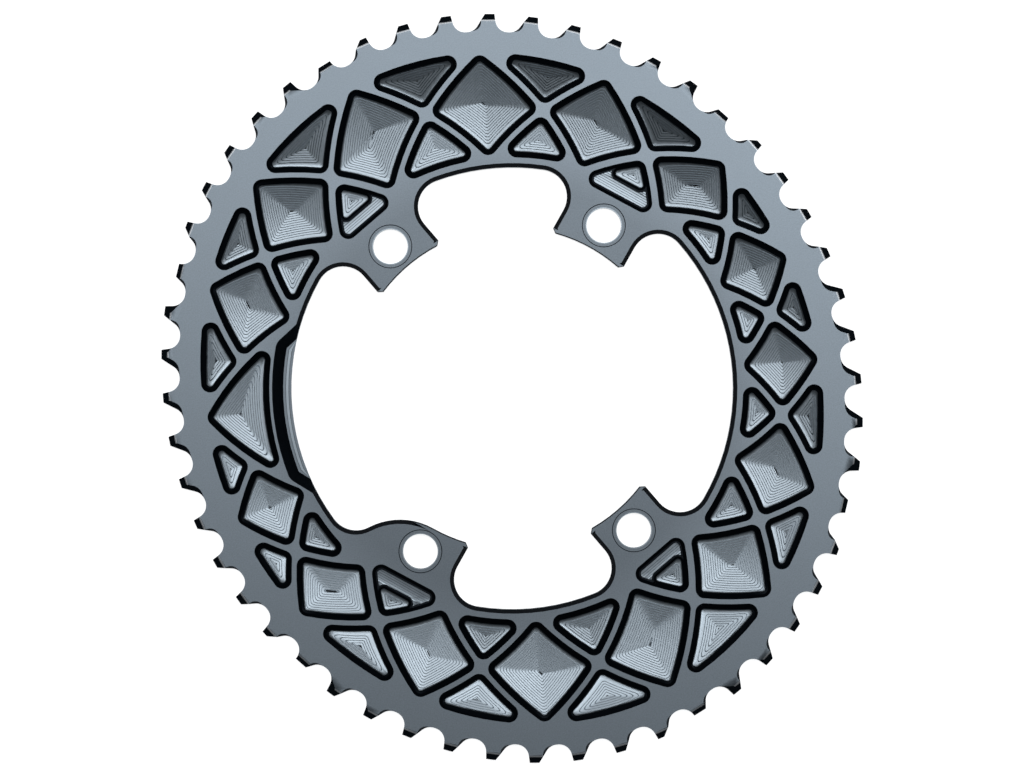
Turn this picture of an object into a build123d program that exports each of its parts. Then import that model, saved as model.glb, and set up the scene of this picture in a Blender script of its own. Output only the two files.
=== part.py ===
from build123d import *
import os
from math import asin, atan2, cos, degrees, hypot, pi, radians, sin, tan

# Bicycle chainring: the big ring of a pair, oval, for a crank with four unevenly spaced arms.
# The origin is the centre of the bolt circle, on the plane that the ring's back rests on.
# +Z comes out of the front face, and +Y lies midway between the two upper bolt holes.

# Sizes in millimetres, angles in degrees from +X towards +Y

# Tooth line
tooth_count = 52
chain_pitch = 12.7
ovality = 1.105               # long half of the pitch oval over its short half
long_axis_at = 108.3
seat_radius = 3.78            # arc that a chain roller rests in
seat_start = 0.2              # middle of the arc on the pushing side, from the roller's middle
seat_end = 0.6                # middle of the arc on the trailing side
load_flank_lean = 7.4         # flank that pushes the roller, from the tooth's own middle line
trail_flank_lean = 32.0
tip_rise = 1.7                # tip of a tooth above the pitch line
low_tip_rise = 0.15
low_tooth_steps = [1, 7, 17]  # lowered teeth, counted from the long axis, in each half turn
front_bevel_run = 1.7         # bevel of the tip on the front, along the tooth
front_bevel_drop = 0.85
front_foot_run = 0.45         # gentler strip at the foot of that bevel
front_foot_drop = 0.1
low_bevel_share = 0.75        # size of the same bevel on a lowered tooth
back_bevel_run = 1.1
back_bevel_drop = 0.45
narrow_tip_cut = 0.6          # where the cut of a narrowed tip starts, from the tooth's middle
narrow_flank_cut = -1.5       # where it has reached the flank
corner_start = 1.3            # bevel of the pushing corner on the tooth after a lowered one
corner_end = 3.1
corner_low = -0.75            # its line on the front, from this height to the next
corner_lower = -2.15
corner_share = 0.4            # size of the same bevel on the tooth after that
corner_slope = 26.0
nick_radius = 2.6             # conical nick in the front edge of a gullet's trailing side
nick_bite = 0.75
nick_at = 28.0                # its direction from the middle of the arc, below the chain line
scoop_steps = [10, 11, 12, 13]  # gullets with a wide scoop in place of the nick, in each half turn
scoop_shift = 1.9
scoop_depth = 1.2

# Thickness
plate_thickness = 4.2
tooth_thickness = 2.1
tab_thickness = 3.4
rim_land = 4.7                # thin web inside the gullets, on the back
rim_slope_run = 4.2           # slope from that web down to the full thickness

# Lattice of pockets: each rib runs straight in angle and radius from the foot of one diamond
# to the head of the next
foot_angles = [0.0, 20.8, 44.5, 67.3, 90.2, 115.5, 134.8, 156.7]
head_angles = [0.0, 20.1, 41.2, 67.4, 90.0, 112.6, 135.7, 155.8]
lattice_inner_radius = 67.25  # inner corners of the diamonds
triangle_base_radius = 67.9   # bases of the inner triangles, and where a step ends
lattice_rim_gap = 6.0         # from the gullet floors to the outer edge of the pockets
rib_width = 1.2               # between two diamonds
triangle_setback = 0.2        # how much further the triangles stand back from the ribs
stepped_setback = 0.7         # the same for the triangles behind the bolt holes
pocket_corner_radius = 2.7
wall_lean = 42.0              # pocket walls, from upright
wall_depth = 1.8
rim_wall_depth = 0.85         # depth of the wall where a pocket meets the thin rim
floor_fall = 5.0              # slope of the floors towards their middle
step_radius = 65.3            # corners of the shallow step behind each bolt hole
step_depth = 1.15

# Inner edge, tabs and bolt holes
inner_radius = 65.05
tab_radius = 47.3
tab_corner_cut = 1.4
tab_fillet = 8.0
inner_bevel = 1.2
bolt_circle = 110.0
bolt_spread = 35.0            # bolt holes each side of the Y axis
bolt_hole = 10.2
bolt_recess = 12.9
bolt_recess_depth = 0.35
tab_half_widths = [[11.1, 12.6], [11.9, 11.6], [11.2, 11.7], [10.3, 11.0]]
shoulder_radius = 20.0        # rounded shoulder of the third tab, on the crank arm's side
tab_seat_radius = 66.0
tab_seat_half_width = 20.0
tab_seat_corner = 0.5

# Recess that clears the crank arm
arm_angle = 180.0
arm_recess_radius = 70.6
arm_recess_half_angle = 16.6
arm_recess_mouth_radius = 66.3
arm_recess_mouth_half_angle = 22.0
arm_recess_depth = 2.3
arm_wall_lean = 54.0          # wall of that recess, from upright
arm_recess_corner = 4.0
arm_pocket_radius = 71.4      # base of the large triangle beyond the recess

# Shift pins and ramps, on the back
pin_head = 3.6
pin_head_height = 1.6
pin_shank = 2.4
pin_shank_length = 1.3
pin_fit = 0.03
pin_inset = 2.7               # from the gullet floor to the middle of a pin
pin_lead = 1                  # gullets between a pin and the lowered tooth that follows it
ramp_length = 13.0
ramp_width = 7.0
ramp_tilt = 5.0

back_of_teeth = plate_thickness - tooth_thickness
triangle_back = rib_width / 2 + triangle_setback
stepped_back = rib_width / 2 + stepped_setback
overlap = 1.0                 # how far cutters reach past the faces that they cut
tab_angles = [90 - bolt_spread, 90 + bolt_spread, 270 - bolt_spread, 270 + bolt_spread]


def polar(angle, radius, height=0.0):
    return Vector(radius * cos(radians(angle)), radius * sin(radians(angle)), height)


def oval_radius(angle, long_half, short_half):
    """Radius of the oval with these halves, in a direction."""
    a = radians(angle - long_axis_at)
    return long_half * short_half / hypot(short_half * cos(a), long_half * sin(a))


def chord_end(u, short_half):
    """Parameter of the oval's point that lies one chain pitch on from the point at u."""
    long_half = ovality * short_half
    nxt = u
    for _ in range(8):
        gap = hypot(long_half * (cos(nxt) - cos(u)), short_half * (sin(nxt) - sin(u)))
        nxt += (chain_pitch - gap) / hypot(long_half * sin(nxt), short_half * cos(nxt))
    return nxt


def roller_parameters(short_half):
    """Parameters of the roller centres, one pitch apart, with a tooth on the long axis."""
    u = [-asin(chain_pitch / 2 / short_half)]
    for _ in range(tooth_count):
        u.append(chord_end(u[-1], short_half))
    return u


def fitted_short_half():
    """Short half of the oval on which the whole number of pitches closes."""
    low = chain_pitch * tooth_count / (2 * pi) * 0.7
    high = chain_pitch * tooth_count / (2 * pi) * 1.1
    for _ in range(50):
        middle = (low + high) / 2
        u = roller_parameters(middle)
        if u[-1] - u[0] > 2 * pi:
            low = middle
        else:
            high = middle
    return middle


short_half = fitted_short_half()
long_half = ovality * short_half
rollers = [
    Vector(long_half * cos(u), short_half * sin(u)).rotate(Axis.Z, long_axis_at)
    for u in roller_parameters(short_half)[:tooth_count]
]
half_turns = (0, tooth_count // 2)
low_teeth = [s + half for half in half_turns for s in low_tooth_steps]
scooped = [s + half for half in half_turns for s in scoop_steps]


def oval(inset, height=0.0):
    """Flat oval, this far inside the pitch oval."""
    return Pos(0, 0, height) * Rot(0, 0, long_axis_at) * Ellipse(long_half - inset, short_half - inset)


def roller_frame(k):
    """Plane at roller centre k: X along the chain, clockwise as the ring turns, and Y outwards."""
    before = rollers[k - 1]
    after = rollers[(k + 1) % tooth_count]
    along = (before - after).normalized()
    return Plane(origin=rollers[k % tooth_count], x_dir=along, z_dir=(0, 0, 1))


def tooth_frame(k):
    """Plane at the middle of tooth k, turned the same way, on the line between two rollers."""
    before = rollers[k % tooth_count]
    after = rollers[(k + 1) % tooth_count]
    return Plane(origin=(before + after) / 2, x_dir=(before - after).normalized(), z_dir=(0, 0, 1))


def gullet_points():
    """Points of a gullet in its roller's plane, from the tip before it to the tip after it."""
    half_turn = 180 / tooth_count
    trail = radians(-trail_flank_lean - half_turn)
    load = radians(180 + load_flank_lean + half_turn)
    reach = tip_rise + overlap

    def on_arc(middle, a):
        return Vector(middle + seat_radius * cos(a), seat_radius * sin(a))

    trail_foot = on_arc(seat_end, trail)
    load_foot = on_arc(seat_start, load)
    trail_top = trail_foot + Vector(tan(-trail), 1) * (reach - trail_foot.Y)
    load_top = load_foot + Vector(-tan(load), 1) * (reach - load_foot.Y)
    points = [
        trail_top,
        trail_foot,
        on_arc(seat_end, (trail - pi / 2) / 2),
        on_arc(seat_end, -pi / 2),
        on_arc(seat_start, -pi / 2),
        on_arc(seat_start, (load + 3 * pi / 2) / 2),
        load_foot,
        load_top,
    ]
    return points


def tooth_outline():
    """Outline of the whole tooth line, with the tips left long for trimming."""
    p = gullet_points()
    gullet = [
        Line(p[0], p[1]),
        ThreePointArc(p[1], p[2], p[3]),
        Line(p[3], p[4]),
        ThreePointArc(p[4], p[5], p[6]),
        Line(p[6], p[7]),
    ]
    edges = []
    for k in range(tooth_count):
        following = roller_frame((k + 1) % tooth_count)
        edges += [roller_frame(k) * edge for edge in gullet]
        edges.append(Line(roller_frame(k).from_local_coords(p[7]), following.from_local_coords(p[0])))
    return make_face(edges)


def tip_trim(k):
    """Cutter that trims tooth k to its height and bevels its tip on both faces."""
    low = k in low_teeth
    tip = low_tip_rise if low else tip_rise
    share = low_bevel_share if low else 1.0
    front = plate_thickness
    foot = tip - share * (front_bevel_run + front_foot_run)
    section = make_face(Polyline(
        (foot, front),
        (foot + share * front_foot_run, front - front_foot_drop),
        (tip, front - share * front_bevel_drop),
        (tip, back_of_teeth + back_bevel_drop),
        (tip - back_bevel_run, back_of_teeth),
        (tip - back_bevel_run, back_of_teeth - overlap),
        (tip + tip_rise + 3 * overlap, back_of_teeth - overlap),
        (tip + tip_rise + 3 * overlap, front + overlap),
        (foot, front + overlap),
        close=True,
    ))
    frame = tooth_frame(k)
    along = Plane(origin=frame.origin, x_dir=frame.y_dir, z_dir=frame.x_dir)
    return along * extrude(section, amount=chain_pitch / 2 - overlap, both=True)


def narrow_trim(k):
    """Cutter that thins the tip of the tooth that leads a lowered one."""
    flank_end = tip_rise - (narrow_tip_cut - narrow_flank_cut)
    cut = make_face(Polyline(
        (narrow_tip_cut, tip_rise),
        (narrow_flank_cut, flank_end),
        (-chain_pitch / 2, flank_end),
        (-chain_pitch / 2, tip_rise + overlap),
        (narrow_tip_cut, tip_rise + overlap),
        close=True,
    ))
    return tooth_frame(k) * Pos(0, 0, back_of_teeth - overlap) * extrude(
        cut, amount=tooth_thickness + 2 * overlap)


def corner_trim(tooth, share):
    """Cutter that bevels the pushing corner of a tooth, along a slanting line on the front."""
    start = Vector(corner_end - share * (corner_end - corner_start), corner_low)
    end = Vector(corner_end, corner_low + share * (corner_lower - corner_low))
    along = (end - start).normalized()
    out = Vector(-along.Y, along.X)
    slope = Plane(
        origin=(start + end) / 2 + Vector(0, 0, plate_thickness),
        x_dir=along,
        z_dir=Vector(0, 0, cos(radians(corner_slope))) + out * sin(radians(corner_slope)),
    )
    block = Box(chain_pitch / 2, chain_pitch / 2, tooth_thickness,
                align=(Align.CENTER, Align.MIN, Align.MIN))
    return tooth_frame(tooth) * slope * block


def nick_trim(k):
    """Cone that nicks the front edge of gullet k, on its trailing side."""
    reach = seat_radius + nick_bite - nick_radius
    cone = Cone(
        nick_radius - 2 * nick_bite,
        nick_radius + overlap,
        2 * nick_bite + overlap,
        align=(Align.CENTER, Align.CENTER, Align.MIN),
    )
    x = seat_end + reach * cos(radians(nick_at))
    y = -reach * sin(radians(nick_at))
    return roller_frame(k) * Pos(x, y, plate_thickness - 2 * nick_bite) * cone


def scoop_trim(k):
    """Wide bevel on the trailing side of gullet k: the gullet's own form, moved along the chain."""
    foot, middle, floor = gullet_points()[1:4]
    top = foot + Vector((tip_rise + overlap - foot.Y) * tan(radians(trail_flank_lean)),
                        tip_rise + overlap - foot.Y)
    start = Vector(-scoop_shift, floor.Y)
    outline = make_face([
        Line(top, foot),
        ThreePointArc(foot, middle, floor),
        Line(floor, start),
        Line(start, Vector(start.X, top.Y)),
        Line(Vector(start.X, top.Y), top),
    ])
    return roller_frame(k) * Pos(scoop_shift, 0, plate_thickness) * sloped_cutter(
        outline, scoop_depth, scoop_shift)


def sloped_cutter(mouth, depth, run):
    """Solid that stands above a mouth at height 0 and narrows below it, by the run in the depth."""
    solid = Pos(0, 0, -depth) * extrude(mouth, amount=depth + overlap)
    foot = solid.edges().group_by(Axis.Z)[0]
    return chamfer(foot, run, depth, reference=solid.faces().sort_by(Axis.Z)[0])


def rib(kind, i):
    """Rib after diamond i: ends as (angle, radius). A rising rib starts at the foot of i."""
    count = len(foot_angles)

    def at(angles, n):
        return angles[n % count] + 180.0 * (n // count)

    inner = lattice_inner_radius - rib_width / 2
    if kind == "rising":
        head = at(head_angles, i + 1)
        return (at(foot_angles, i), inner), (head, lattice_rim(head))
    head = at(head_angles, i)
    return (head, lattice_rim(head)), (at(foot_angles, i + 1), inner)


def lattice_rim(angle):
    """Radius of the line on which the ribs end at the rim, half a rib outside the pockets."""
    inset = seat_radius + lattice_rim_gap - rib_width / 2
    return oval_radius(angle, long_half - inset, short_half - inset)


def rib_node(ends, radius):
    """Point of a rib at a radius, as (angle, radius)."""
    (a0, r0), (a1, r1) = ends
    return a0 + (a1 - a0) * (radius - r0) / (r1 - r0), radius


def crossing(i):
    """Point where the two ribs after diamond i cross, as (angle, radius)."""
    (a0, r0), (a1, r1) = rib("rising", i)
    (b0, s0), (b1, s1) = rib("falling", i)
    rise = (r1 - r0) / (a1 - a0)
    fall = (s1 - s0) / (b1 - b0)
    angle = (s0 - r0 + rise * a0 - fall * b0) / (rise - fall)
    return angle, r0 + rise * (angle - a0)


def side(start, end, bulge="rib"):
    """One side of a pocket between two nodes: along a rib or circle, the rim, or straight."""
    a, b = polar(*start), polar(*end)
    middle_angle = (start[0] + end[0]) / 2
    if bulge == "straight":
        return Line(a, b)
    if bulge == "rim":
        return ThreePointArc(a, polar(middle_angle, lattice_rim(middle_angle)), b)
    return ThreePointArc(a, polar(middle_angle, (start[1] + end[1]) / 2), b)


def sharp_outline(sides, back):
    """Mouth of a pocket before its corners are rounded, with its sides set back from the ribs."""
    return offset(make_face(sides), amount=-back, kind=Kind.INTERSECTION)


def leaning_cutter(mouth, depth):
    """Cutter below a mouth in the front face, with leaning walls and a flat floor."""
    rounded = fillet(mouth.vertices(), pocket_corner_radius)
    return Pos(0, 0, plate_thickness) * sloped_cutter(rounded, depth, depth * tan(radians(wall_lean)))


def rim_share(point):
    """0 where a pocket is well inside the ring, 1 where it touches the thin rim."""
    angle = degrees(atan2(point.Y, point.X))
    inside = lattice_rim(angle) - hypot(point.X, point.Y)
    return max(0.0, 1.0 - inside / (2 * rim_slope_run))


def pocket_cutter(mouth):
    """Pocket with leaning walls and a floor of flat facets that fall to the middle."""
    middle = mouth.center()
    reach = min(Vertex(middle).distance_to(e) for e in mouth.edges())
    fall = (reach - wall_depth * tan(radians(wall_lean))) * tan(radians(floor_fall))
    cutter = leaning_cutter(mouth, wall_depth + fall)
    apex = middle + Vector(0, 0, plate_thickness - wall_depth - fall)
    for edge in mouth.edges():
        feet = []
        for corner in (edge @ 0, edge @ 1):
            depth = wall_depth - (wall_depth - rim_wall_depth) * rim_share(corner)
            inward = (middle - corner).normalized() * depth
            feet.append(corner + inward + Vector(0, 0, plate_thickness - depth))
        up = (feet[0] - apex).cross(feet[1] - apex)
        if up.Z < 0:
            up = -up
        cutter = split(cutter, bisect_by=Plane(origin=apex, z_dir=up), keep=Keep.TOP)
    return cutter


def diamond_cutter(i):
    corners = [rib("rising", i)[0], crossing(i), rib("falling", i)[0], crossing(i - 1)]
    sides = [side(corners[n], corners[(n + 1) % 4]) for n in range(4)]
    return pocket_cutter(sharp_outline(sides, rib_width / 2))


def outer_triangle_cutter(i):
    left, right, low = rib("falling", i)[0], rib("rising", i)[1], crossing(i)
    sides = [side(low, right), side(right, left, "rim"), side(left, low)]
    return pocket_cutter(sharp_outline(sides, triangle_back))


def base_nodes(i, j, base):
    """Ends of a triangle's base, at this radius on the two ribs beside it."""
    return rib_node(rib("rising", i), base), rib_node(rib("falling", j), base)


def inner_triangle_cutter(i):
    left, right = base_nodes(i, i, triangle_base_radius - triangle_back)
    high = crossing(i)
    sides = [side(left, right), side(right, high), side(high, left)]
    return pocket_cutter(sharp_outline(sides, triangle_back))


def stepped_triangle_cutter(i):
    """Triangle behind a bolt hole: a shallow step towards the hole, then the full depth."""
    left, right = base_nodes(i, i, step_radius - stepped_back)
    high = crossing(i)
    sides = [side(left, right, "straight"), side(right, high), side(high, left)]
    mouth = sharp_outline(sides, stepped_back)
    middle = polar((left[0] + right[0]) / 2, triangle_base_radius)
    beyond = Plane(origin=middle, z_dir=middle)
    deep = split(mouth, bisect_by=beyond, keep=Keep.TOP)
    return leaning_cutter(mouth, step_depth) + pocket_cutter(deep)


def arm_triangle_cutter(i):
    """Large triangle outside the crank arm's recess, in the place of diamond i."""
    left, right = base_nodes(i - 1, i, arm_pocket_radius - triangle_back)
    high = rib("falling", i)[0]
    sides = [side(left, right), side(right, high), side(high, left)]
    return pocket_cutter(sharp_outline(sides, triangle_back))


def pocket_cutters():
    """Every pocket of the lattice, each half turn like the other but for the crank arm."""
    half = len(foot_angles)
    stepped = []
    for angle in tab_angles:
        stepped.append(min(range(2 * half), key=lambda n: abs(crossing(n)[0] % 360 - angle)))
    cutters = []
    for i in range(2 * half):
        cutters.append(arm_triangle_cutter(i) if i == half else diamond_cutter(i))
        cutters.append(outer_triangle_cutter(i))
        if i in stepped:
            cutters.append(stepped_triangle_cutter(i))
        elif i not in (half - 1, half):
            cutters.append(inner_triangle_cutter(i))
    return cutters


def opening_face():
    """Outline of the opening inside the ring, with the four bolt tabs left standing in it."""
    opening = Circle(inner_radius)
    for n, angle in enumerate(tab_angles):
        low, high = tab_half_widths[n]
        if n == 2:
            low = 0
        width = low + high
        tab = Pos((inner_radius + tab_radius) / 2, (high - low) / 2) * Rectangle(
            inner_radius + overlap - tab_radius + 4 * overlap, width)
        if n == 2:
            disc = Pos(tab_radius + shoulder_radius, 0) * Circle(shoulder_radius)
            tab += disc - Pos(inner_radius, inner_radius) * Rectangle(2 * inner_radius, 2 * inner_radius)
        opening -= Rot(0, 0, angle) * tab
    opening += Circle(tab_radius)
    outer = [v for v in opening.vertices() if abs(hypot(v.X, v.Y) - inner_radius) < 0.01]
    opening = fillet(outer, tab_fillet)
    inner = [
        v for v in opening.vertices()
        if abs(hypot(v.X, v.Y) - tab_radius) < 0.01 and not on_shoulder(v)
    ]
    return chamfer(inner, tab_corner_cut)


def opening_cutters():
    """Cutters for the opening and for the bevel of its front edge, which the tab ends lack."""
    opening = opening_face()
    through = Pos(0, 0, -overlap) * extrude(opening, amount=plate_thickness + 2 * overlap)
    wide = offset(opening, amount=inner_bevel, kind=Kind.INTERSECTION)
    bevel = Pos(0, 0, plate_thickness) * sloped_cutter(wide, inner_bevel, inner_bevel)
    bevel -= Pos(0, 0, plate_thickness) * Cylinder(tab_radius + inner_bevel, 4 * inner_bevel)
    return [through, bevel]


def on_shoulder(v):
    """Whether a point of the opening is where the third tab's shoulder meets its end."""
    angle = degrees(atan2(v.Y, v.X)) % 360
    return abs(angle - tab_angles[2]) < 1.0


def arm_recess_cutter():
    """Recess in the front that clears the crank arm, open to the inner edge."""
    corner = polar(arm_angle - arm_recess_half_angle, arm_recess_radius)
    mouth = polar(arm_angle - arm_recess_mouth_half_angle, arm_recess_mouth_radius)
    far_corner = polar(arm_angle + arm_recess_half_angle, arm_recess_radius)
    far_mouth = polar(arm_angle + arm_recess_mouth_half_angle, arm_recess_mouth_radius)
    reach = (mouth - corner).normalized() * 3 * arm_recess_depth
    far_reach = (far_mouth - far_corner).normalized() * 3 * arm_recess_depth
    face = make_face([
        ThreePointArc(corner, polar(arm_angle, arm_recess_radius), far_corner),
        Line(far_corner, far_mouth + far_reach),
        Line(far_mouth + far_reach, mouth + reach),
        Line(mouth + reach, corner),
    ])
    outer = face.vertices().sort_by(lambda v: hypot(v.X, v.Y))[-2:]
    face = fillet(outer, arm_recess_corner)
    return extrude(Pos(0, 0, plate_thickness) * face, amount=-arm_recess_depth, taper=arm_wall_lean)


def tab_seat_cutters():
    """Recess in the back of each tab, where it seats on the crank's spider."""
    depth = plate_thickness - tab_thickness
    seat = Circle(tab_seat_radius) & (
        Pos(tab_seat_radius, 0) * Rectangle(tab_seat_radius, 2 * tab_seat_half_width))
    seat = fillet(seat.vertices(), tab_seat_corner)
    return [
        Rot(0, 0, a) * Pos(0, 0, -overlap) * extrude(seat, amount=depth + overlap)
        for a in tab_angles
    ]


def bolt_cutters():
    """Bolt holes, each with a shallow recess for the head of its bolt."""
    cutters = []
    for angle in tab_angles:
        middle = polar(angle, bolt_circle / 2)
        hole = Cylinder(bolt_hole / 2, 4 * plate_thickness)
        recess = Pos(0, 0, plate_thickness) * Cylinder(bolt_recess / 2, 2 * bolt_recess_depth)
        cutters += [Pos(middle) * hole, Pos(middle) * recess]
    return cutters


def pin_frame(tooth):
    """Plane of the shift pin that leads a lowered tooth: on the back of the web, Z outwards."""
    k = (tooth - pin_lead) % tooth_count
    frame = roller_frame(k)
    middle = frame.from_local_coords(Vector((seat_start + seat_end) / 2, -seat_radius - pin_inset))
    return Plane(origin=middle + Vector(0, 0, back_of_teeth), x_dir=frame.x_dir, z_dir=(0, 0, -1))


def shift_pin(tooth):
    """Steel pin: a head on the back of the web and a shank set into it."""
    head = Cylinder(pin_head / 2, pin_head_height, align=(Align.CENTER, Align.CENTER, Align.MIN))
    shank = Pos(0, 0, -pin_shank_length / 2) * Cylinder(pin_shank / 2, pin_shank_length)
    return pin_frame(tooth) * (head + shank)


def pin_hole(tooth):
    depth = pin_shank_length + pin_fit
    hole = Cylinder(pin_shank / 2 + pin_fit, 2 * depth)
    return pin_frame(tooth) * hole


def ramp_cutter(tooth):
    """Ramp on the back of the teeth, up which the chain climbs past a lowered tooth."""
    frame = tooth_frame(tooth)
    block = Box(ramp_length, ramp_width, 2 * tooth_thickness,
                align=(Align.CENTER, Align.CENTER, Align.MAX))
    low = Pos(0, 0, back_of_teeth) * Rot(0, -ramp_tilt, 0) * block
    return frame * Pos(0, -ramp_width / 4, 0) * low


def chainring():
    """The ring: tooth line, dished body, pockets, opening, tabs and holes."""
    teeth = Pos(0, 0, back_of_teeth) * extrude(tooth_outline(), amount=tooth_thickness)
    teeth -= [tip_trim(k) for k in range(tooth_count)]
    teeth -= [narrow_trim(k - 1) for k in low_teeth]
    teeth -= [corner_trim(k + 1, 1.0) for k in low_teeth]
    teeth -= [corner_trim(k + 2, corner_share) for k in low_teeth]
    teeth -= [scoop_trim(k) if k in scooped else nick_trim(k) for k in range(tooth_count)]
    teeth -= [ramp_cutter(k) for k in low_teeth]
    web_inset = seat_radius + rim_land
    body = loft([oval(web_inset + rim_slope_run), oval(web_inset, back_of_teeth)], ruled=True)
    ring = teeth + body
    ring -= opening_cutters()
    ring -= tab_seat_cutters() + bolt_cutters()
    ring -= arm_recess_cutter()
    ring -= [pin_hole(k) for k in low_teeth]
    ring -= pocket_cutters()
    return ring


os.makedirs("parts", exist_ok=True)
export_step(chainring(), "parts/chainring.step")
for number, tooth in enumerate(low_teeth, start=1):
    export_step(shift_pin(tooth), f"parts/shift_pin_{number}.step")
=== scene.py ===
import bmesh
import bpy
import math
import numpy as np
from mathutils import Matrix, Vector


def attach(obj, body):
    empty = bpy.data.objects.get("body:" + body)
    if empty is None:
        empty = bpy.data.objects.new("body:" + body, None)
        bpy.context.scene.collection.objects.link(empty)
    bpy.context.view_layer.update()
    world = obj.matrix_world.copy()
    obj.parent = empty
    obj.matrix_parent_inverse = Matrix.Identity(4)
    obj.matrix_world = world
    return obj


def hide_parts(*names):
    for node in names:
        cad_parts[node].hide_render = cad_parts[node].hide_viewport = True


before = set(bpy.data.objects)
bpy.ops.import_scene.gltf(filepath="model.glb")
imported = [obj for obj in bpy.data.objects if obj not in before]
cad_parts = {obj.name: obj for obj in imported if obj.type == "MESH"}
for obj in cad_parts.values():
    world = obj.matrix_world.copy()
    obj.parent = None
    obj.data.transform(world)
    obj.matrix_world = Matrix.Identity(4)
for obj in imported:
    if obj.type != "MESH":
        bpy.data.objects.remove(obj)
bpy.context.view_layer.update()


# The ring's plate: one piece of aluminium alloy, 4.2 mm thick, with the teeth, the pockets, the
# tabs and the holes all milled from it. The flat faces are blasted with fine grit. The sloping
# walls and the bevels of the teeth stay as the cutter left them.
mm = 0.001
front = 4.2 * mm
tooth_back = front - 2.15 * mm      # just under the backs of the teeth
pitch_long, pitch_short, pitch_turn = 110.35 * mm, 99.86 * mm, math.radians(108.3)
plain_band = 8.0 * mm               # from the pitch curve of the teeth in to the web
sharp_bend = math.radians(21)       # an edge that bends more than this stays sharp
flat_up, back_up = 0.995, -0.9      # upright part of the normal of a front face and a back face
slope_low, slope_high = 0.2, 0.95   # and of a sloping one
same_place = 0.002 * mm             # points nearer than this are one
same_height = 0.02 * mm             # heights nearer than this are one
# Skins of the faces: the wall, bevel, pit and cusp ones are painted shade, the foot one a painted
# highlight
face_finish, painted_wall_shade, painted_bevel_shade, floor_finish, painted_pit_shade, painted_foot_highlight, painted_cusp_shade = range(7)


def inside_rim(x, y):
    """Whether a place lies inside the plain band at the foot of the teeth."""
    u = x * math.cos(pitch_turn) + y * math.sin(pitch_turn)
    v = y * math.cos(pitch_turn) - x * math.sin(pitch_turn)
    return math.hypot(u / (pitch_long - plain_band), v / (pitch_short - plain_band)) < 1


def finish_of(face):
    """Finish of a face of the plate, before its floors are milled."""
    c = face.calc_center_median()
    up = face.normal.z
    in_web = inside_rim(c.x, c.y)
    if up > flat_up and c.z > front - same_height or up < back_up:
        return face_finish
    if in_web:
        # Sloping faces in the web are walls, painted nearly black as painted shade.
        return painted_wall_shade if slope_low < up < slope_high else face_finish
    if c.z < tooth_back or up < slope_low:
        return face_finish
    # The shallow foot of a tooth's bevel is a painted highlight, the steeper bevel painted shade.
    return painted_foot_highlight if up > slope_high else painted_bevel_shade


bm = bmesh.new()
bm.from_mesh(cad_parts["chainring"].data)
bmesh.ops.remove_doubles(bm, verts=bm.verts, dist=same_place)
bmesh.ops.recalc_face_normals(bm, faces=bm.faces)
for face in bm.faces:
    face.smooth = True
    face.material_index = finish_of(face)
for edge in bm.edges:
    edge.smooth = len(edge.link_faces) == 2 and edge.calc_face_angle(0) < sharp_bend


# The pocket floors: milled in the plate by a ball cutter that follows the walls inwards, pass by
# pass, from a small cove at the foot of the wall to a pit in the middle. Two passes leave a fine
# cusp between them. Every floor leans, and its sides fall a little towards the pit.
wall_run = 1.75 * mm            # width of every wall, seen from above
wall_lean = math.radians(42)    # of the walls, from upright
least_widening = 0.1 * mm       # what the cutter adds to a wall's width, at least
most_widening = 0.4             # and at most, as a part of the pocket's half width
cove, cove_drop = 0.3 * mm, 0.1 * mm
foot_drop = 0.1 * mm            # from the foot of the wall down to the floor
foot_gap = 0.05 * mm            # the same at the highest place of the floor
step_over = 0.67 * mm           # from one pass of the cutter to the next
cusp, cusp_rise = 0.17 * mm, 0.024 * mm
pit_radius, pit_drop = 0.15 * mm, 0.25 * mm
least_pass = 0.02 * mm          # from the last cusp to the edge of the pit, at least
least_large = 6.4 * mm          # half width of the diamonds and the large triangle, at least
large_fall, small_fall = math.radians(4.3), math.radians(1.2)   # of the sides of a floor
large_spread, small_spread = 0.8 * mm, 0.6 * mm     # how far the passes round off their corners
spread_growth = 0.7             # rounding gained with the distance from the wall
large_lift, small_lift = 2.6, 2.0   # how much more a floor leans than the foot of its wall
dish = 0.5                      # part of the fall that is round, the rest follows the walls
point_spacing = 1.5 * mm        # between the points along a pass
way_steps = 65                  # places looked at from the wall to the middle
floor_up = 0.83                 # upright part of the normal of a floor, at least
floor_low, floor_high = 1.0 * mm, front - 0.05 * mm
web_inner = 64 * mm             # no pocket lies nearer the middle of the ring
least_area = 3 * mm * mm
least_slope = 0.05 * mm         # height that a leaning floor gains, at least


def is_pocket_floor(face):
    """Whether a face belongs to the floor of a pocket, or to a shallow one beside it."""
    c = face.calc_center_median()
    in_web = inside_rim(c.x, c.y) and math.hypot(c.x, c.y) > web_inner
    return face.normal.z > floor_up and floor_low < c.z < floor_high and in_web


def islands(faces):
    """Groups of faces that share edges."""
    left = set(faces)
    groups = []
    while left:
        group = [left.pop()]
        for face in group:
            for edge in face.edges:
                for other in edge.link_faces:
                    if other in left:
                        left.discard(other)
                        group.append(other)
        groups.append(group)
    return groups


def rim_loop(edges):
    """The vertices of one closed ring of edges, in order."""
    links = {}
    for edge in edges:
        for vert in edge.verts:
            links.setdefault(vert, []).append(edge)
    edge = edges[0]
    loop = [edge.verts[0]]
    for _ in edges[1:]:
        vert = edge.other_vert(loop[-1])
        loop.append(vert)
        edge = links[vert][0] if links[vert][1] == edge else links[vert][1]
    return loop


def wall_distance(points, outline):
    """Distance from each point to the closed outline, seen from above."""
    tiny = 1e-18                # stands for the length of a side that has none
    start = outline[None, :, :2]
    along = np.roll(outline, -1, axis=0)[None, :, :2] - start
    length_squared = np.maximum((along ** 2).sum(-1), tiny)
    share = ((points[:, None, :2] - start) * along).sum(-1) / length_squared
    nearest = start + np.clip(share, 0, 1)[..., None] * along
    return np.sqrt(((points[:, None, :2] - nearest) ** 2).sum(-1)).min(1)


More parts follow.
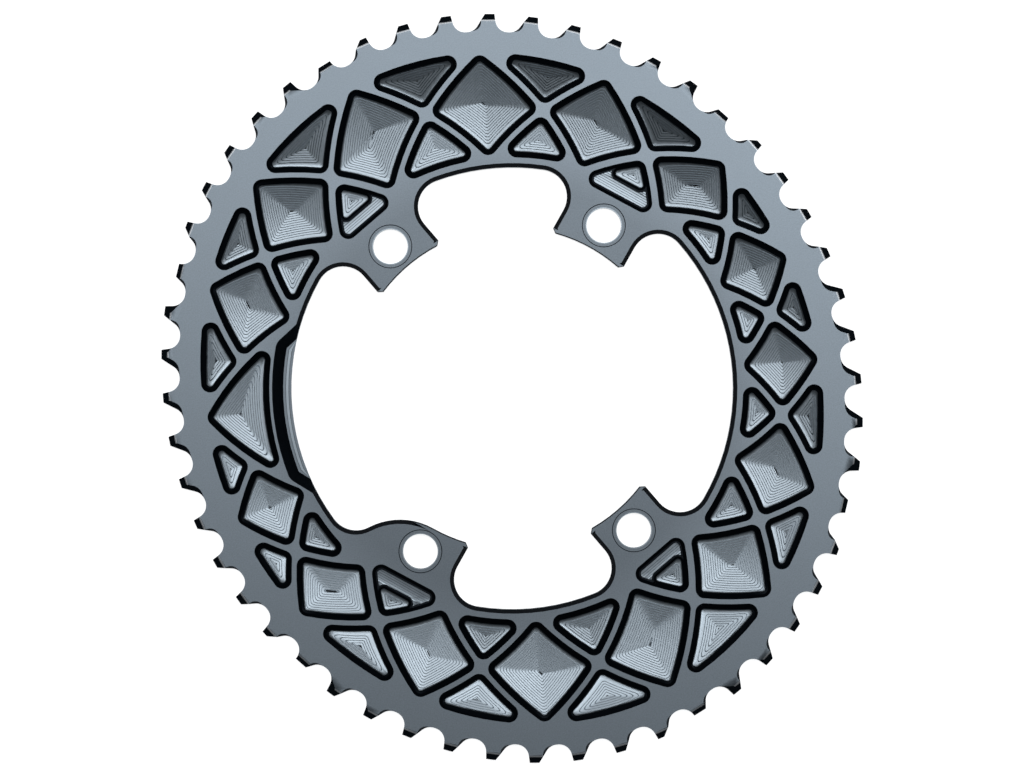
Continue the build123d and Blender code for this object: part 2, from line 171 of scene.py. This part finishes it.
def is_inside(point, outline):
    """Whether a point lies inside the closed outline, by the sides to the right of it."""
    x, y = outline[:, 0], outline[:, 1]
    x2, y2 = np.roll(x, -1), np.roll(y, -1)
    crosses = (y > point[1]) != (y2 > point[1])
    at = (x2 - x) * (point[1] - y) / np.where(y2 == y, 1, y2 - y) + x
    return (crosses & (point[0] < at)).sum() % 2 == 1


def widest_place(outline):
    """The place inside an outline that is furthest from its walls, and how far that is."""
    rounds, half_grid, closer = 4, 8, 6
    low, high = outline[:, :2].min(0), outline[:, :2].max(0)
    best, span = (low + high) / 2, (high - low) / 2
    cells = range(-half_grid, half_grid + 1)
    for _ in range(rounds):
        grid = [best + span * np.array([i, j]) / half_grid for i in cells for j in cells]
        grid = np.array([point for point in grid if is_inside(point, outline)])
        depth = wall_distance(grid, outline)
        best, span = grid[depth.argmax()], span / closer
    return best, depth.max()


def along_outline(flat):
    """How far apart each two points lie along an outline, and the length that each stands for."""
    lengths = np.linalg.norm(np.roll(flat, -1, axis=0) - flat, axis=1)
    place = np.cumsum(lengths) - lengths
    apart = np.abs(place[:, None] - place[None])
    return np.minimum(apart, lengths.sum() - apart), (lengths + np.roll(lengths, 1)) / 2


def way_inwards(flat, middle, outline):
    """Steps from each point of the wall's foot to the middle, and the wall's distance at each."""
    steps = np.linspace(0, 1, way_steps)
    way = flat[None] + (middle - flat)[None] * steps[:, None, None]
    depth = wall_distance(way.reshape(-1, 2), outline).reshape(len(steps), len(outline))
    return steps, np.maximum.accumulate(depth, axis=0)


def leaning_plane(across, heights, lift):
    """A plane that leans more than the foot of the wall does and stays under it."""
    plane = np.linalg.lstsq(across, heights - foot_drop, rcond=None)[0]
    plane[:2] *= lift
    plane[2] += min(0, (heights - foot_gap - across @ plane).min())
    return plane


def cutter_passes(widening, half_width):
    """Distance from the foot of the wall, rise and finish of every line that the cutter leaves."""
    # The strip that the cutter adds to the wall is painted nearly black as painted shade, like the
    # wall.
    passes = [(widening, 0, painted_wall_shade), (widening + cove, 0, floor_finish)]
    away = widening.mean() + cove + step_over
    while away + cusp < half_width - pit_radius:
        # Each cusp strip is painted dark as painted shade.
        passes += [(away, 0, floor_finish), (away + cusp, cusp_rise, painted_cusp_shade)]
        away += step_over
    last = max(half_width - pit_radius, away - step_over + cusp + least_pass)
    return passes + [(last, 0, floor_finish)]


def floor_rings(outline):
    """Rings of points from the foot of the wall inwards, their finish, and the pit's bottom."""
    middle, half_width = widest_place(outline)
    is_large = half_width > least_large
    widest_spread = large_spread if is_large else small_spread
    lift = large_lift if is_large else small_lift
    fall = math.tan(large_fall if is_large else small_fall) * half_width
    flat = outline[:, :2]
    full = np.linalg.norm(flat - middle, axis=1)
    steps, depth = way_inwards(flat, middle, outline)
    apart, stands_for = along_outline(flat)
    plane = leaning_plane(np.c_[flat - middle, np.ones(len(flat))], outline[:, 2], lift)
    widening = np.maximum(wall_run - (front - outline[:, 2]) * math.tan(wall_lean), least_widening)
    widening = np.minimum(widening, most_widening * half_width)
    rings = []
    for index, (away, rise, finish) in enumerate(cutter_passes(widening, half_width)):
        share = np.array([np.interp(distance, depth[:, i], steps)
                          for i, distance in enumerate(np.broadcast_to(away, len(outline)))])
        reach = (1 - share) * full
        if index > 1:
            spread = min(widest_spread, spread_growth * (away - widening.mean()))
            weight = np.exp(-(apart / spread) ** 2 / 2) * stands_for[None]
            reach = weight @ reach / weight.sum(1)
        ring = np.empty_like(outline)
        ring[:, :2] = middle + (flat - middle) * (reach / full)[:, None]
        ring[:, 2] = np.c_[ring[:, :2] - middle, np.ones(len(flat))] @ plane + rise
        outwards = np.linalg.norm(ring[:, :2] - middle, axis=1) / full.max()
        ring[:, 2] -= fall * dish * (1 - outwards ** 2)
        if index > 0:
            inwards = np.clip((away - widening) / (half_width - widening.mean()), 0, 1)
            ring[:, 2] -= fall * (1 - dish) * inwards + cove_drop
        rings.append((ring, finish, index > 1))
    return rings, Vector((*middle, plane[2] - fall - cove_drop - pit_drop))


def mill_floor(loop):
    """Closes the hole of one pocket with a milled floor."""
    rings, bottom = floor_rings(np.array([v.co[:] for v in loop]))
    last = loop
    for ring, finish, is_sharp in rings:
        verts = [bm.verts.new(point) for point in ring]
        for n in range(len(verts)):
            after = (n + 1) % len(verts)
            face = bm.faces.new((last[n], last[after], verts[after], verts[n]))
            face.smooth = True
            face.material_index = finish
            bm.edges.get((verts[n], verts[after])).smooth = not is_sharp
        last = verts
    # The pit is painted nearly black as painted shade.
    pit = bm.verts.new(bottom)
    for n in range(len(last)):
        face = bm.faces.new((last[n], last[(n + 1) % len(last)], pit))
        face.material_index = painted_pit_shade


pocket = bm.edges.layers.int.new("pocket")
pocket_count, plain_floors = 0, []
for group in islands([f for f in bm.faces if is_pocket_floor(f)]):
    inner = set(group)
    heights = [v.co.z for f in group for v in f.verts]
    leans = max(heights) - min(heights) > least_slope
    if leans and sum(f.calc_area() for f in group) > least_area:
        pocket_count += 1
        plain_floors += group
        for edge in [e for f in group for e in f.edges]:
            if sum(other in inner for other in edge.link_faces) == 1:
                edge[pocket] = pocket_count
bmesh.ops.delete(bm, geom=plain_floors, context="FACES")
cuts = {}
for edge in bm.edges:
    if edge[pocket]:
        cuts.setdefault(int(edge.calc_length() / point_spacing), []).append(edge)
for count, edges in cuts.items():
    if count > 0:
        bmesh.ops.subdivide_edges(bm, edges=edges, cuts=count)
feet = [[] for _ in range(pocket_count)]
for edge in bm.edges:
    if edge[pocket] and len(edge.link_faces) == 1:
        feet[edge[pocket] - 1].append(edge)
for edges in feet:
    mill_floor(rim_loop(edges))


# The four shallow floors, each beside a triangle near a bolt hole: cut in the same plate, 1.15 mm
# under the front, with walls like those of the pockets. The cutter crosses them in straight
# passes, one further from the middle of the ring than the last.
step_height = front - 1.15 * mm
step_slack = 0.08 * mm          # how far from it such a floor may lie
step_up = 0.98                  # upright part of the normal of a shallow floor, at least
step_wall = 0.55 * mm           # what the cutter adds to the width of its walls
step_area = 8 * mm * mm         # of the smallest shallow floor, at least
step_passes = 13
step_groove = 1.4 * cusp_rise   # how deep each pass is cut
step_reach = 67 * mm            # from the middle of the ring to the shallow floors
tab_angles = [math.radians(a) for a in (55, 125, 235, 305)]


def is_step_floor(face):
    """Whether a face belongs to a shallow floor."""
    c = face.calc_center_median()
    at_height = abs(c.z - step_height) < step_slack
    return face.normal.z > step_up and at_height and inside_rim(c.x, c.y)


def inset(faces, width, depth=0):
    """Draws a strip along the edge of a group of faces, and gives the faces of the strip."""
    made = bmesh.ops.inset_region(bm, faces=faces, thickness=width, depth=depth,
                                  use_even_offset=False)
    return made["faces"]


def slice_faces(faces, point, across):
    """Cuts faces along a plane, and gives the parts of them and the new edges and vertices."""
    edges = {edge for face in faces for edge in face.edges}
    verts = {vert for face in faces for vert in face.verts}
    return bmesh.ops.bisect_plane(bm, geom=[*faces, *edges, *verts], plane_co=point, plane_no=across)


def outwards_at(angle):
    """The way out from the middle of the ring at an angle."""
    return Vector((math.cos(angle), math.sin(angle), 0))


for group in islands([f for f in bm.faces if is_step_floor(f)]):
    if sum(f.calc_area() for f in group) < step_area:
        continue
    # The strip along the walls is painted nearly black as painted shade, like the pocket walls.
    for face in inset(group, step_wall):
        face.material_index = painted_wall_shade
    about = sum((f.calc_center_median() for f in group), Vector()) / len(group)
    angle = min(tab_angles, key=lambda a: (about - outwards_at(a) * step_reach).length)
    out = outwards_at(angle)
    base = min(v.co.dot(out) for f in group for v in f.verts)
    for face in group:
        face.material_index = floor_finish
    inner = group
    for n in range(1, step_passes + 1):
        near, far = n * step_over, n * step_over + cusp
        for at in (near, far):
            cut = slice_faces(inner, out * (base + at), out)
            inner = [part for part in cut["geom"] if isinstance(part, bmesh.types.BMFace)]
            for part in cut["geom_cut"]:
                if isinstance(part, bmesh.types.BMEdge):
                    part.smooth = False
                elif at == near:
                    part.co.z -= step_groove
        # The strip between the two cuts of a pass is painted dark as painted shade.
        for face in inner:
            if near < face.calc_center_median().dot(out) - base < far:
                face.material_index = painted_cusp_shade


# The recess for the crank arm: cut in the inner edge of the plate, 2.3 mm under the front, so
# that the arm can pass. A second, finer cut leaves a low step round the middle of its floor.
recess_height = front - 2.3 * mm
recess_reach = 69 * mm          # from the middle of the ring to the far side of the recess
recess_half = 27 * mm           # half its length
recess_margin = 0.7 * mm        # floor left as it is round the step
lip_width, lip_drop = 0.12 * mm, 0.05 * mm
level_up = 0.99                 # upright part of the normal of a level face, at least


def is_recess_floor(face):
    """Whether a face belongs to the floor of the recess for the crank arm."""
    c = face.calc_center_median()
    in_recess = math.hypot(c.x, c.y) < recess_reach and abs(c.y) < recess_half and c.x < 0
    return face.normal.z > level_up and abs(c.z - recess_height) < same_height and in_recess


strip = [f for f in bm.faces if is_recess_floor(f)]
inset(strip, recess_margin)
lip = inset(strip, lip_width, -lip_drop)
for face in strip + lip:
    face.material_index = floor_finish
    for edge in face.edges:
        edge.smooth = False
# The edge of the low step is painted dark as painted shade.
for face in lip:
    face.material_index = painted_cusp_shade


# The bolt seats: a flat ring turned 0.35 mm deep in the front of each tab, round its hole, for
# the head of a bolt. Its outer corner is painted dark as painted shade, and the edge of the hole is
# painted light with the skin of the milled floors as a painted highlight.
bolt_radius = 55 * mm           # of the circle through the four holes
seat_height = front - 0.35 * mm
seat_reach = 7 * mm             # beyond the edge of the seat
seat_middle = 5.8 * mm          # radius between the edge of the hole and the corner of the seat
seat_edge = 0.25 * mm           # width of the dark line and of the bright one


def is_seat_of(face, hole):
    """Whether a face belongs to the seat round one bolt hole."""
    c = face.calc_center_median()
    at_height = abs(c.z - seat_height) < same_height
    return face.normal.z > level_up and at_height and (c.xy - hole.xy).length < seat_reach


for angle in tab_angles:
    hole = outwards_at(angle) * bolt_radius
    for face in inset([f for f in bm.faces if is_seat_of(f, hole)], seat_edge):
        # The outer strip is painted dark as painted shade, the inner strip light as a painted
        # highlight.
        is_outer = (face.calc_center_median().xy - hole.xy).length > seat_middle
        face.material_index = painted_wall_shade if is_outer else floor_finish


# The tab ends: each tab of the plate is milled to a hollow curve at its end. The sharp front edge
# of the curve is broken by a narrow bevel, which is painted as dark as the walls, as painted shade.
tab_end_reach = 48.3 * mm       # beyond every tab's end, from the middle of the ring
bevel_width = 0.3 * mm
upright_up = 0.1                # upright part of the normal of an upright face, at most


def is_tab_end(face):
    """Whether a face belongs to the hollow end of a tab."""
    return abs(face.normal.z) < upright_up and face.calc_center_median().xy.length < tab_end_reach


ends = [f for f in bm.faces if is_tab_end(f)]
cut = slice_faces(ends, (0, 0, front - bevel_width), (0, 0, 1))
touched = {f for part in cut["geom"] if isinstance(part, bmesh.types.BMVert) for f in part.link_faces}
bands = [f for f in touched if is_tab_end(f) and f.calc_center_median().z > front - bevel_width]
for vert in {v for face in bands for v in face.verts if v.co.z > front - same_height}:
    vert.co.xy += vert.co.xy.normalized() * bevel_width
# The bevel is painted as dark as the walls, as painted shade.
for face in bands:
    face.material_index = painted_wall_shade
    for edge in face.edges:
        edge.smooth = abs(edge.verts[0].co.z - edge.verts[1].co.z) > bevel_width / 2


# The skin of the ring: a hard anodised layer of a cool grey over the whole plate. It is satin on
# the blasted face and brighter where the cutter left its passes. Painted shade makes it nearly black
# on the walls, the bevels of the teeth, the pits and the cusps, and darker on the face towards the
# tabs; a painted highlight makes it light on the feet of the tooth bevels.
bmesh.ops.recalc_face_normals(bm, faces=bm.faces)
mesh = bpy.data.meshes.new("ring_machined")
bm.to_mesh(mesh)
bm.free()
ring = bpy.data.objects.new("ring_machined", mesh)
bpy.context.scene.collection.objects.link(ring)

blasted_grain, blasted_grain_size, blasted_relief = 0.10, 2600, 0.2
dark_shine = 0.15
gloss_range = 0.05
inner_painted_shade = 0.72               # painted shade: how dark the face is painted at the tabs, against its edge
painted_shade_start, painted_shade_end = 60 * mm, 78 * mm


def satin(name, colour, roughness, metallic, grain=0.05, grain_size=900, relief=0.05):
    """Anodised aluminium: a fine even grain in its colour, gloss and surface."""
    material = bpy.data.materials.new(name)
    material.use_nodes = True
    nodes, links = material.node_tree.nodes, material.node_tree.links
    surface = nodes["Principled BSDF"]
    surface.inputs["Metallic"].default_value = metallic
    place = nodes.new("ShaderNodeTexCoord")
    fine = nodes.new("ShaderNodeTexNoise")
    fine.inputs["Scale"].default_value = grain_size
    fine.inputs["Detail"].default_value = 4.0
    links.new(place.outputs["Object"], fine.inputs["Vector"])
    tone = nodes.new("ShaderNodeValToRGB")
    tone.color_ramp.elements[0].position = 0.3
    tone.color_ramp.elements[1].position = 0.7
    tone.color_ramp.elements[0].color = (*[c * (1 - grain) for c in colour], 1)
    tone.color_ramp.elements[1].color = (*[c * (1 + grain) for c in colour], 1)
    links.new(fine.outputs["Fac"], tone.inputs["Fac"])
    links.new(tone.outputs["Color"], surface.inputs["Base Color"])
    gloss = nodes.new("ShaderNodeMapRange")
    gloss.inputs["To Min"].default_value = roughness - gloss_range
    gloss.inputs["To Max"].default_value = roughness + gloss_range
    links.new(fine.outputs["Fac"], gloss.inputs["Value"])
    links.new(gloss.outputs["Result"], surface.inputs["Roughness"])
    bump = nodes.new("ShaderNodeBump")
    bump.inputs["Strength"].default_value = relief
    bump.inputs["Distance"].default_value = 0.04 * mm
    links.new(fine.outputs["Fac"], bump.inputs["Height"])
    links.new(bump.outputs["Normal"], surface.inputs["Normal"])
    return material


def paint_inner_shade(material):
    """Paints shade into a skin: darker towards the tabs, where the face reflects less light."""
    nodes, links = material.node_tree.nodes, material.node_tree.links
    flat_place = nodes.new("ShaderNodeVectorMath")
    flat_place.operation = "MULTIPLY"
    flat_place.inputs[1].default_value = (1, 1, 0)
    links.new(nodes["Texture Coordinate"].outputs["Object"], flat_place.inputs[0])
    from_middle = nodes.new("ShaderNodeVectorMath")
    from_middle.operation = "LENGTH"
    links.new(flat_place.outputs["Vector"], from_middle.inputs[0])
    tone = nodes.new("ShaderNodeMapRange")
    tone.inputs["From Min"].default_value = painted_shade_start
    tone.inputs["From Max"].default_value = painted_shade_end
    tone.inputs["To Min"].default_value = inner_painted_shade
    tone.inputs["To Max"].default_value = 1.0
    links.new(from_middle.outputs["Value"], tone.inputs["Value"])
    shade = nodes.new("ShaderNodeVectorMath")
    shade.operation = "SCALE"
    links.new(nodes["Color Ramp"].outputs["Color"], shade.inputs[0])
    links.new(tone.outputs["Result"], shade.inputs["Scale"])
    links.new(shade.outputs["Vector"], nodes["Principled BSDF"].inputs["Base Color"])


# The skins stand in the order of the finishes above. The wall, tooth bevel, pit and cusp skins
# are painted shade, the bevel foot skin is a painted highlight, and the blasted face is painted
# darker towards the tabs as painted shade.
blasted = satin("blasted_face_inner_painted_shade", (0.190, 0.227, 0.263), 0.37, 0.85,
                blasted_grain, blasted_grain_size, blasted_relief)
# Painted shade: the face is painted darker towards the tabs.
paint_inner_shade(blasted)
mesh.materials.append(blasted)
mesh.materials.append(satin("milled_wall_painted_shade", (0.003, 0.006, 0.010), 0.40, 0.5))
mesh.materials.append(satin("tooth_bevel_painted_shade", (0.009, 0.014, 0.020), 0.30, 0.5))
mesh.materials.append(satin("milled_floor", (0.26, 0.305, 0.345), 0.33, 0.9))
mesh.materials.append(satin("floor_pit_painted_shade", (0.02, 0.023, 0.028), 0.40, 0.5))
mesh.materials.append(satin("bevel_foot_painted_highlight", (0.62, 0.66, 0.70), 0.40, 0.9))
mesh.materials.append(satin("milled_cusp_painted_shade", (0.085, 0.105, 0.125), 0.36, 0.9))
# The painted-shade skins also reflect less, so that they stay dark.
for finish in (painted_wall_shade, painted_bevel_shade, painted_pit_shade):
    dark = mesh.materials[finish].node_tree.nodes["Principled BSDF"]
    dark.inputs["Specular IOR Level"].default_value = dark_shine
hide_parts("chainring")
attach(ring, "root")


# The shift pins: six small hardened steel pins, riveted into the back of the rim. Their heads
# are ground, and the chain has polished them.
steel_dark, steel_light = (0.42, 0.42, 0.43, 1), (0.60, 0.60, 0.61, 1)
steel = bpy.data.materials.new("ground_steel")
steel.use_nodes = True
nodes, links = steel.node_tree.nodes, steel.node_tree.links
surface = nodes["Principled BSDF"]
surface.inputs["Metallic"].default_value = 1.0
place = nodes.new("ShaderNodeTexCoord")
grain = nodes.new("ShaderNodeTexNoise")
grain.inputs["Scale"].default_value = 1800
tone = nodes.new("ShaderNodeValToRGB")
tone.color_ramp.elements[0].color = steel_dark
tone.color_ramp.elements[1].color = steel_light
gloss = nodes.new("ShaderNodeMapRange")
gloss.inputs["To Min"].default_value = 0.22
gloss.inputs["To Max"].default_value = 0.40
links.new(place.outputs["Object"], grain.inputs["Vector"])
links.new(grain.outputs["Fac"], tone.inputs["Fac"])
links.new(tone.outputs["Color"], surface.inputs["Base Color"])
links.new(grain.outputs["Fac"], gloss.inputs["Value"])
links.new(gloss.outputs["Result"], surface.inputs["Roughness"])
for number in range(1, 7):
    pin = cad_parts[f"shift_pin_{number}"]
    pin.data.materials.clear()
    pin.data.materials.append(steel)


# The table: a plain white sheet that the ring lies on. It also glows a little where the camera
# or a reflection meets it, so that it stays an even white, and it throws none of that light.
bpy.ops.mesh.primitive_plane_add(size=4.0, location=(0, 0, 0))
table = bpy.context.object
table.name = "table"
paper = bpy.data.materials.new("white_paper")
paper.use_nodes = True
nodes, links = paper.node_tree.nodes, paper.node_tree.links
sheet = nodes["Principled BSDF"]
sheet.inputs["Base Color"].default_value = (0.9, 0.9, 0.9, 1)
sheet.inputs["Roughness"].default_value = 0.9
glow = nodes.new("ShaderNodeEmission")
glow.inputs["Color"].default_value = (1, 1, 1, 1)
glow.inputs["Strength"].default_value = 0.88
rays = nodes.new("ShaderNodeLightPath")
seen = nodes.new("ShaderNodeMath")
seen.operation = "MAXIMUM"
links.new(rays.outputs["Is Camera Ray"], seen.inputs[0])
links.new(rays.outputs["Is Glossy Ray"], seen.inputs[1])
either = nodes.new("ShaderNodeMath")
either.operation = "MAXIMUM"
links.new(seen.outputs["Value"], either.inputs[0])
links.new(rays.outputs["Is Transmission Ray"], either.inputs[1])
unlit = nodes.new("ShaderNodeEmission")
unlit.inputs["Strength"].default_value = 0.0
lit = nodes.new("ShaderNodeMixShader")
links.new(either.outputs["Value"], lit.inputs["Fac"])
links.new(unlit.outputs["Emission"], lit.inputs[1])
links.new(glow.outputs["Emission"], lit.inputs[2])
both = nodes.new("ShaderNodeAddShader")
links.new(sheet.outputs["BSDF"], both.inputs[0])
links.new(lit.outputs["Shader"], both.inputs[1])
links.new(both.outputs["Shader"], nodes["Material Output"].inputs["Surface"])
table.data.materials.append(paper)


# The light: one broad soft lamp beyond the top of the picture, a weaker one at each side, a
# little further up than the ring's middle, and an even dim room. The lamps hang 1.5 m high.
roll = math.radians(5.63)       # how far the ring is turned in the picture
up_in_picture = Vector((math.sin(roll), math.cos(roll), 0))
right_in_picture = Vector((math.cos(roll), -math.sin(roll), 0))
lamp_height, lamp_out, side_lamp_up = 1.5, 0.40, 0.22
soft_boxes = [
    ("soft_box_above", up_in_picture, 0, 1.0, 0.54, 4.6),
    ("soft_box_left", -right_in_picture, side_lamp_up, 0.34, 0.7, 1.4),
    ("soft_box_right", right_in_picture, side_lamp_up, 0.34, 0.7, 2.7),
]
for name, side, further_up, across, along, watts in soft_boxes:
    lamp_data = bpy.data.lights.new(name, "AREA")
    lamp_data.shape = "RECTANGLE"
    lamp_data.size = across
    lamp_data.size_y = along
    lamp_data.energy = watts
    lamp = bpy.data.objects.new(name, lamp_data)
    bpy.context.scene.collection.objects.link(lamp)
    lamp.location = side * lamp_out + up_in_picture * further_up + Vector((0, 0, lamp_height))
    lamp.rotation_euler = (-lamp.location).to_track_quat("-Z", "Y").to_euler()
    lamp.visible_camera = False

room = bpy.data.worlds.new("room")
room.use_nodes = True
room.node_tree.nodes["Background"].inputs["Color"].default_value = (0.90, 0.95, 1.0, 1)
room.node_tree.nodes["Background"].inputs["Strength"].default_value = 0.03
bpy.context.scene.world = room


# The camera: straight above the ring, far enough away that its outline is nearly flat, and
# turned a little so that the ring lies as it does in the picture.
picture_width = 1024
picture_middle = Vector((512, 384))
ring_middle = Vector((512.11, 388.38))      # in pixels, to the right and down
pixels_per_metre = 3401.0
distance = 1.3
sensor_width = 36.0
camera_data = bpy.data.cameras.new("camera")
camera_data.sensor_width = sensor_width
camera_data.sensor_fit = "HORIZONTAL"
camera_data.lens = sensor_width * distance * pixels_per_metre / picture_width
camera = bpy.data.objects.new("camera", camera_data)
bpy.context.scene.collection.objects.link(camera)
off_middle = (ring_middle - picture_middle) / pixels_per_metre
aim = up_in_picture * off_middle.y - right_in_picture * off_middle.x
camera.location = aim + Vector((0, 0, front + distance))
camera.rotation_euler = (0, 0, -roll)
bpy.context.scene.camera = camera
bpy.context.scene.view_settings.view_transform = "Standard"
